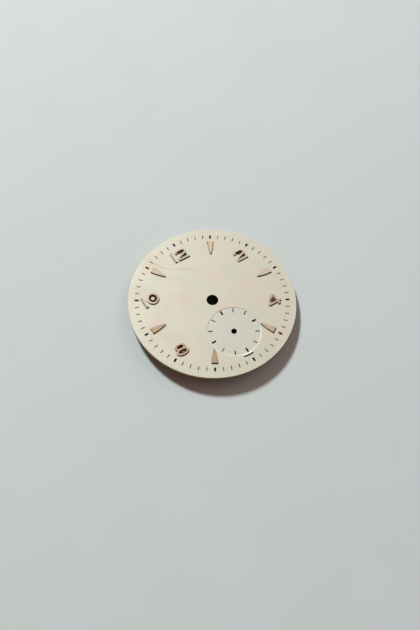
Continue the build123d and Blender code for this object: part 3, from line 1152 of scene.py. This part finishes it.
def applied_piece(name, cad_node, outline, middle, turn, gilt_slope):
    """Applied piece on its studs, in its place on the face, gilt where flatter than a slope."""
    sizes = bpy.context.scene.applied_sizes
    bm = bmesh.new()
    outline(bm, sizes)
    raise_piece(bm, APPLIED_TOP_Z - FACE_Z, sizes.bevel)
    in_place = Matrix.Translation((middle.x, middle.y, FACE_Z)) @ Matrix.Rotation(turn, 4, "Z")
    bmesh.ops.transform(bm, matrix=in_place, verts=bm.verts)
    for place in stud_places(cad_node):
        add_stud(bm, sizes, place)
    tarnish, lean, rub = WEAR[cad_node]
    tarnished = bm.verts.layers.float.new("tarnished")
    rubbed = bm.verts.layers.float.new("rubbed")
    left_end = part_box(cad_node)[0].x
    for vert in bm.verts:
        leftwards = (vert.co.x - middle.x) / (left_end - middle.x)
        vert[tarnished] = tarnish + lean * leftwards
        vert[rubbed] = rub
    # Steeper faces get the side finish, darkened with tarnish and painted shade
    least_normal = math.cos(gilt_slope)
    finish_piece(
        bm, name, ["applied_gilt", "applied_gilt_side"], [cad_node],
        lambda face: "applied_gilt" if face.normal.z > least_normal else "applied_gilt_side",
    )


# Steps of the plate


def plate_blank():
    """Round plate with its centre hole."""
    sizes = bpy.context.scene.dial_plate_sizes
    profile = [
        (sizes.centre_hole, 0),
        *rounded_corner(sizes.centre_hole, FACE_Z, sizes.hole_bevel, False),
        *reversed(rounded_corner(PLATE_RADIUS, FACE_Z, sizes.edge_bevel, True)),
        (PLATE_RADIUS, 0),
    ]
    return turned_helper("silvered_plate_blank", profile, Vector((0, 0, 0)), RIM_STEPS)


def mound(sizes, radius):
    """Profile of a round mound with a flank, sunk a little in the face."""
    sunk = FACE_Z / 4
    slope = sizes.lip_flank_run / sizes.lip_height
    top = FACE_Z + sizes.lip_height
    return [
        (0, FACE_Z - sunk),
        (radius + slope * sunk, FACE_Z - sunk),
        (radius - sizes.lip_flank_run, top),
        (0, top),
    ]


def plate_lip():
    """Lip along the mouth of the sunk circle, before the circle is cut."""
    sizes = bpy.context.scene.dial_plate_sizes
    mouth = sizes.recess_radius + sizes.recess_wall_run
    lip = turned_helper("lip", mound(sizes, mouth + sizes.lip_reach), SECONDS_LINE, RIM_STEPS)
    middle = SECONDS_LINE - Vector((sizes.lip_offset, mouth + sizes.lip_reach / 2, 0))
    stretch = mound(sizes, sizes.lip_length / 2)
    joined_by(lip, "INTERSECT", turned_helper("lip_stretch", stretch, middle, RIM_STEPS // 2))
    return lip


def recess_cutter():
    """Cutter for the sunk circle, its sloping wall and the inner slope of the lip."""
    sizes = bpy.context.scene.dial_plate_sizes
    mouth = sizes.recess_radius + sizes.recess_wall_run
    profile = [
        (0, FLOOR_Z),
        (sizes.recess_radius, FLOOR_Z),
        (mouth, FACE_Z),
        (mouth + 2 * sizes.lip_inner_run, FACE_Z + 2 * sizes.lip_height),
        (0, FACE_Z + 2 * sizes.lip_height),
    ]
    return turned_helper("recess", profile, SECONDS_LINE, RIM_STEPS)


def seconds_hole_cutter():
    """Cutter for the seconds hole, rounded at its mouth."""
    sizes = bpy.context.scene.dial_plate_sizes
    profile = [
        (0, -FACE_Z),
        (sizes.seconds_hole, -FACE_Z),
        *rounded_corner(sizes.seconds_hole, FLOOR_Z, sizes.hole_bevel, False),
        (sizes.seconds_hole + sizes.hole_bevel, FACE_Z),
        (0, FACE_Z),
    ]
    return turned_helper("seconds_hole", profile, SECONDS_LINE, HOLE_STEPS)


def seats_cutter():
    """Cutter for the studs' holes and the feet's seats."""
    applied = bpy.context.scene.applied_sizes
    feet = bpy.context.scene.dial_foot_sizes
    seats = bmesh.new()
    for cad_node in WEAR:
        for place in stud_places(cad_node):
            add_stud_hole(seats, applied, place)
    seat_radius = feet.root_radius + feet.seat_clearance
    profile = [
        (0, -feet.seat_depth),
        (seat_radius, -feet.seat_depth),
        (seat_radius, feet.seat_depth),
        (0, feet.seat_depth),
    ]
    for cad_node in FEET:
        place = middle_of(cad_node)
        turned_solid(seats, profile, Vector((place.x, place.y, 0)), HOLE_STEPS)
    return helper("seats", seats)


def plate_finish(face):
    """Finish of one face of the plate."""
    sizes = bpy.context.scene.dial_plate_sizes
    steep_normal, level_normal = 0.1, 0.99
    spot = face.calc_center_median()
    if face.normal.z < steep_normal or spot.z < FLOOR_Z - sizes.hole_bevel:
        return "brass_back"
    if face.normal.z > level_normal:
        return "turned_seconds" if spot.z < (FACE_Z + FLOOR_Z) / 2 else "silvered_face"
    if spot.to_2d().length > PLATE_RADIUS - 2 * sizes.edge_bevel:
        return "silvered_face"
    # The lip's outer flank, which faces away from the light, gets painted shade
    if spot.z > FACE_Z and (spot - SECONDS_LINE).to_2d().dot(face.normal.to_2d()) > 0:
        return "grimy_flank"
    return "recess_wall"


# Steps of the stage


def pale_floor(settings):
    """Plain pale floor, faintly mottled, with painted deep shade under the middle of the dial."""
    mottles_per_metre = 60.0
    tree, shader, where = new_finish("pale_floor", roughness=0.9, specular_ior_level=0.1)
    mottled = ramp(tree, noise(tree, where, mottles_per_metre, 4.0), 0.4, 0.6)
    base = blend_colour(tree, mottled, settings.floor_colour, settings.floor_mottle)
    from_middle = vector(tree, "LENGTH", where)
    # Painted shade: the floor is painted nearly black under the middle of the dial
    painted_shade = ramp(tree, from_middle, 0.65 * PLATE_RADIUS, 0.85 * PLATE_RADIUS, 0.9, 0.0)
    feed(tree, shader.inputs["Base Color"], blend_colour(tree, painted_shade, base, (0.0, 0.0, 0.0)))


def pale_world(settings):
    """Even light all round, seen as a pale backdrop by the camera and in metal."""
    world = bpy.data.worlds.new("pale_room")
    world.use_nodes = True
    tree = world.node_tree
    background = tree.nodes["Background"]
    paths = node(tree, "ShaderNodeLightPath")
    rays = ("Is Camera Ray", "Is Glossy Ray", "Is Transmission Ray")
    seen = largest(tree, [paths.outputs[ray] for ray in rays])
    where = node(tree, "ShaderNodeTexCoord").outputs["Generated"]
    sideways = vector(tree, "DOT_PRODUCT", where, direction(settings.side_heading))
    side = ramp(tree, sideways, math.cos(settings.side_outer), math.cos(settings.side_inner))
    tint = blend_colour(tree, side, settings.fill_tint, settings.side_tint)
    feed(tree, background.inputs["Color"], blend_colour(tree, seen, tint, (1.0, 1.0, 1.0)))
    height = vector(tree, "DOT_PRODUCT", where, UP)
    fill = ramp(tree, height, 0.0, 0.7, 0.0, settings.fill_strength)
    fill = calc(tree, "MULTIPLY", fill, raised(tree, 1.0, side, settings.side_gain))
    strength = ramp(tree, seen, 0.0, 1.0, fill, settings.seen_strength)
    feed(tree, background.inputs["Strength"], strength)
    return world


def add_floor(settings):
    """Floor that slopes across the line between the feet, so that both tips touch it."""
    bm = bmesh.new()
    bmesh.ops.create_grid(bm, x_segments=1, y_segments=1, size=settings.floor_reach)
    floor = new_object("floor", new_mesh("floor", bm))
    feet = bpy.context.scene.dial_foot_sizes
    tip = feet.pin_radius - feet.tip_bevel
    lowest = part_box("dial_foot_near_4")[0].z
    rising = direction(settings.floor_heading)
    tilt = Matrix.Rotation(math.atan(settings.floor_rise), 4, UP.cross(-rising))
    floor.matrix_world = Matrix.Translation((0, 0, lowest - settings.floor_rise * tip)) @ tilt
    pale_floor(settings)
    floor.data.materials.append(bpy.data.materials["pale_floor"])


def add_key(settings):
    """Round main light, turned to the dial."""
    key = bpy.data.lights.new("key", "AREA")
    key.shape = "DISK"
    key.color = settings.key_tint
    key.size = 2 * settings.key_distance * math.tan(settings.key_spread / 2)
    key.energy = settings.key_strength * math.pi * settings.key_distance**2
    toward = direction(settings.key_heading, settings.key_height)
    lamp = new_object("key", key)
    lamp.rotation_mode = "QUATERNION"
    lamp.rotation_quaternion = toward.to_track_quat("Z", "Y")
    lamp.location = toward * settings.key_distance


def add_camera(settings):
    """Camera in its place, turned to the dial."""
    camera = new_object("camera", bpy.data.cameras.new("camera"))
    camera.data.lens = settings.lens
    camera.data.clip_start = 1 * MM
    camera.data.clip_end = 10
    camera.location = settings.camera_place
    camera.rotation_mode = "QUATERNION"
    camera.rotation_quaternion = settings.camera_turn
    return camera


# Operators


class DIAL_OT_finishes(bpy.types.Operator):
    """Makes the materials of the dial"""

    bl_idname = "dial.finishes"
    bl_label = "Finishes"

    def execute(self, context):
        build_finishes()
        return {"FINISHED"}


class DIAL_OT_plate(bpy.types.Operator):
    """Builds the plate with its sunk circle, lip, holes and seats"""

    bl_idname = "dial.plate"
    bl_label = "Plate"

    def execute(self, context):
        plate = plate_blank()
        joined_by(plate, "UNION", plate_lip())
        for make_cutter in (recess_cutter, seconds_hole_cutter, seats_cutter):
            joined_by(plate, "DIFFERENCE", make_cutter())
        bm = bmesh.new()
        bm.from_mesh(plate.data)
        bpy.data.meshes.remove(plate.data)
        bmesh.ops.remove_doubles(bm, verts=bm.verts, dist=PLATE_WELD)
        finish_piece(
            bm, "silvered_plate",
            ["silvered_face", "turned_seconds", "recess_wall", "grimy_flank", "brass_back"],
            ["dial_plate"], plate_finish,
        )
        return {"FINISHED"}


class DIAL_OT_feet(bpy.types.Operator):
    """Builds the two dial feet"""

    bl_idname = "dial.feet"
    bl_label = "Dial feet"

    def execute(self, context):
        sizes = context.scene.dial_foot_sizes
        for node_name, piece_name in FEET.items():
            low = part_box(node_name)[0].z
            middle = middle_of(node_name)
            bm = bmesh.new()
            profile = [
                (0, sizes.seat_depth),
                (sizes.root_radius, sizes.seat_depth),
                (sizes.root_radius, -sizes.root_height),
                (sizes.pin_radius, -sizes.root_height - sizes.taper),
                (sizes.pin_radius, low + sizes.tip_bevel),
                (sizes.pin_radius - sizes.tip_bevel, low),
                (0, low),
            ]
            turned_solid(bm, profile, Vector((middle.x, middle.y, 0)), FOOT_STEPS)
            finish_piece(bm, piece_name, ["copper_foot"], [node_name])
        return {"FINISHED"}


class DIAL_OT_markers(bpy.types.Operator):
    """Builds the six tapered markers"""

    bl_idname = "dial.markers"
    bl_label = "Markers"

    def execute(self, context):
        sizes = context.scene.applied_sizes
        at_twelve = Vector((0, sizes.marker_outer_radius - sizes.marker_length / 2, 0))
        for hour in MARKER_HOURS:
            turn = clock_turn(hour)
            middle = Matrix.Rotation(turn, 3, "Z") @ at_twelve
            applied_piece(
                f"gilt_marker_{hour}", f"marker_{hour}", outline_marker, middle, turn,
                MARKER_GILT_SLOPE,
            )
        return {"FINISHED"}


class DIAL_OT_numerals(bpy.types.Operator):
    """Builds the seven applied figures"""

    bl_idname = "dial.numerals"
    bl_label = "Numerals"

    def execute(self, context):
        for node_name, (piece_name, outline) in FIGURES.items():
            applied_piece(
                piece_name, node_name, outline, middle_of(node_name), 0, FIGURE_GILT_SLOPE
            )
        return {"FINISHED"}


class DIAL_OT_prints(bpy.types.Operator):
    """Builds the printed minute and seconds marks"""

    bl_idname = "dial.prints"
    bl_label = "Printed marks"

    def execute(self, context):
        sizes = context.scene.print_sizes
        minutes = (sizes.outer_radius, sizes.tick_length, UP * FACE_Z)
        seconds = (
            sizes.seconds_outer_radius, sizes.seconds_tick_length, SECONDS_LINE + UP * FLOOR_Z
        )
        between_hours = [minute / 5 for minute in range(60) if minute % 5]
        between_quarters = [hour for hour in range(12) if hour % 3]
        rows = (
            ("printed_hours", "hour_ticks", range(12), sizes.hour_width, minutes, "printed_black"),
            (
                "printed_minutes", "minute_ticks", between_hours,
                sizes.minute_width, minutes, "printed_grey",
            ),
            (
                "printed_quarters", "seconds_quarter_ticks", range(0, 12, 3),
                sizes.quarter_width, seconds, "printed_black",
            ),
            (
                "printed_five_seconds", "seconds_five_ticks", between_quarters,
                sizes.five_width, seconds, "printed_grey",
            ),
        )
        for piece_name, node_name, hours, width, (outer, run, centre), ink in rows:
            bm = bmesh.new()
            upright_bar(bm, width, run)
            raise_piece(bm, sizes.thickness, sizes.soft_edge)
            bmesh.ops.translate(bm, vec=(0, outer - run / 2, 0), verts=bm.verts)
            first_hour, *other_hours = hours
            first_mark = bm.verts[:] + bm.edges[:] + bm.faces[:]
            for hour in other_hours:
                copied = bmesh.ops.duplicate(bm, geom=first_mark)["geom"]
                from_first = Matrix.Rotation(clock_turn(hour - first_hour), 3, "Z")
                bmesh.ops.rotate(bm, cent=(0, 0, 0), matrix=from_first, verts=points_of(copied))
            to_first = Matrix.Rotation(clock_turn(first_hour), 3, "Z")
            bmesh.ops.rotate(bm, cent=(0, 0, 0), matrix=to_first, verts=bm.verts)
            bmesh.ops.translate(bm, vec=centre, verts=bm.verts)
            finish_piece(bm, piece_name, [ink], [node_name])
        return {"FINISHED"}


class DIAL_OT_stage(bpy.types.Operator):
    """Sets the floor, the light and the camera"""

    bl_idname = "dial.stage"
    bl_label = "Stage"

    def execute(self, context):
        scene = context.scene
        scene.view_settings.view_transform = "Standard"
        scene.world = pale_world(scene.stage_settings)
        add_floor(scene.stage_settings)
        add_key(scene.stage_settings)
        scene.camera = add_camera(scene.stage_settings)
        return {"FINISHED"}


class DIAL_PT_panel(bpy.types.Panel):
    """Sizes, colours and build steps of the dial"""

    bl_idname = "DIAL_PT_panel"
    bl_label = "Watch Dial"
    bl_space_type = "VIEW_3D"
    bl_region_type = "UI"
    bl_category = "Watch Dial"

    def draw(self, context):
        layout = self.layout
        for name, kind in SETTINGS.items():
            box = layout.box()
            box.label(text=kind.__doc__)
            group = getattr(context.scene, name)
            for field in kind.__annotations__:
                box.prop(group, field)
        for operator in OPERATORS:
            layout.operator(operator.bl_idname)


OPERATORS = (
    DIAL_OT_finishes, DIAL_OT_plate, DIAL_OT_feet, DIAL_OT_markers, DIAL_OT_numerals,
    DIAL_OT_prints, DIAL_OT_stage,
)


def register():
    for name, kind in SETTINGS.items():
        bpy.utils.register_class(kind)
        setattr(bpy.types.Scene, name, bpy.props.PointerProperty(type=kind))
    for kind in (*OPERATORS, DIAL_PT_panel):
        bpy.utils.register_class(kind)


def unregister():
    for kind in reversed((*OPERATORS, DIAL_PT_panel)):
        bpy.utils.unregister_class(kind)
    for name, kind in reversed(SETTINGS.items()):
        delattr(bpy.types.Scene, name)
        bpy.utils.unregister_class(kind)


def main():
    """Builds the whole dial and its stage."""
    register()
    bpy.ops.dial.finishes()
    bpy.ops.dial.plate()
    bpy.ops.dial.feet()
    bpy.ops.dial.markers()
    bpy.ops.dial.numerals()
    bpy.ops.dial.prints()
    bpy.ops.dial.stage()


if __name__ == "__main__":
    main()
